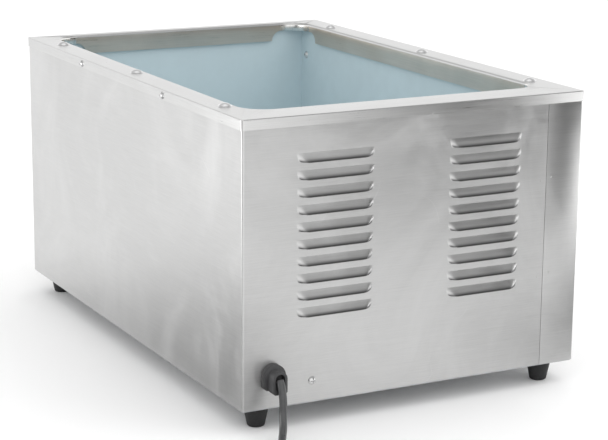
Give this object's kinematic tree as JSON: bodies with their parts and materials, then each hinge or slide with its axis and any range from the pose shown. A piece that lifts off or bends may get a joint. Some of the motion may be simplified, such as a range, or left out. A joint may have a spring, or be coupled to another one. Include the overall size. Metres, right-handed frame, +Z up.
{
  "type": "bench-top heated tank",
  "caption": "Open rectangular stainless bench-top tank, electrically heated from below, with louvred rear end, rubber feet, mains lead, dial, rocker switch and drain valve",
  "frame": {"origin": "centre of the footprint on the standing surface, at the feet's undersides", "axes": "+Z up, +Y towards the louvred rear face with the mains lead, -Y towards the controls and drain valve, +X towards the one-piece long side"},
  "size_m": [0.3798, 0.8301, 0.285],
  "materials": {
    "stainless": "fine horizontal brushing",
    "stainless_cover": "satin, bright rolled edge",
    "tank_steel": "satin",
    "film": "pale blue peelable film",
    "zinc": "zinc plated",
    "screw_steel": "bright",
    "rubber": "matte black",
    "black_plastic": "fine grain",
    "cord_pvc": "satin grey-black",
    "brass": "bright",
    "ceramic": "off-white",
    "wires": "heat-resistant sleeves",
    "aluminium": "mill finish",
    "element": "heat-tinted sheath",
    "insulation": "needled mineral wool",
    "dial_white": "satin white",
    "red_rocker": "translucent red",
    "green_lens": "green lens",
    "amber_lens": "amber lens",
    "ptfe": "white",
    "ball_chrome": "polished",
    "valve_steel": "cast and polished",
    "red_vinyl": "dipped vinyl"
  },
  "bodies": {
    "cabinet": {"base_plate": "zinc", "wrap_panel": "stainless", "side_panel": "stainless", "seam_strips": "stainless", "top_cover": "stainless_cover", "liner": "tank_steel", "protective_film": "film", "liner_brackets": "zinc", "liner_screws": "screw_steel", "cover_screws": "screw_steel", "flange_screws": "screw_steel", "base_screws": "screw_steel", "rear_screw": "screw_steel", "m4_nuts": "zinc", "foot_front_left": "rubber", "foot_front_right": "rubber", "foot_rear_left": "rubber", "foot_rear_right": "rubber", "foot_screws": "screw_steel", "gland": "black_plastic", "gland_nut": "black_plastic", "cord_lead": "cord_pvc", "cord_coil": "cord_pvc", "cord_tail": "cord_pvc", "coil_tie": "black_plastic", "plug": "black_plastic", "plug_pins": "brass", "terminal_bracket": "zinc", "terminal_block": "ceramic", "wiring_loom": "wires", "heat_spreader": "aluminium", "heater_element": "element", "clamp_bars": "zinc", "weld_studs": "screw_steel", "insulation_pad": "insulation", "heat_shield": "zinc", "thermostat": "ceramic", "thermostat_nut": "screw_steel", "temperature_sensor": "brass", "safety_cutout": "black_plastic", "dial_plate": "dial_white", "switch_body": "black_plastic", "lamp_bodies": "black_plastic", "power_lens": "green_lens", "heating_lens": "amber_lens", "drain_pipe": "tank_steel", "drain_nut": "screw_steel", "valve_gasket": "rubber", "valve_body": "valve_steel", "valve_insert": "valve_steel", "valve_seats": "ptfe"},
    "dial": {"dial_shaft": "screw_steel", "dial_knob": "black_plastic"},
    "rocker": {"switch_rocker": "red_rocker"},
    "valve_handle": {"valve_ball": "ball_chrome", "valve_stem": "valve_steel", "valve_lever": "valve_steel", "lever_sleeve": "red_vinyl", "lever_nut": "screw_steel"}
  },
  "joints": [
    {"name": "dial_turn", "type": "hinge", "parent": "cabinet", "child": "dial", "pos_m": [0.105, -0.251, 0.08], "axis": [0, 1, 0], "range_deg": [0, 270]},
    {"name": "rocker_tilt", "type": "hinge", "parent": "cabinet", "child": "rocker", "pos_m": [-0.02, -0.2505, 0.08], "axis": [-1, 0, 0], "range_deg": [0, 20]},
    {"name": "valve_turn", "type": "hinge", "parent": "cabinet", "child": "valve_handle", "pos_m": [-0.105, -0.273, 0.075], "axis": [0, 0, -1], "range_deg": [0, 90]}
  ]
}
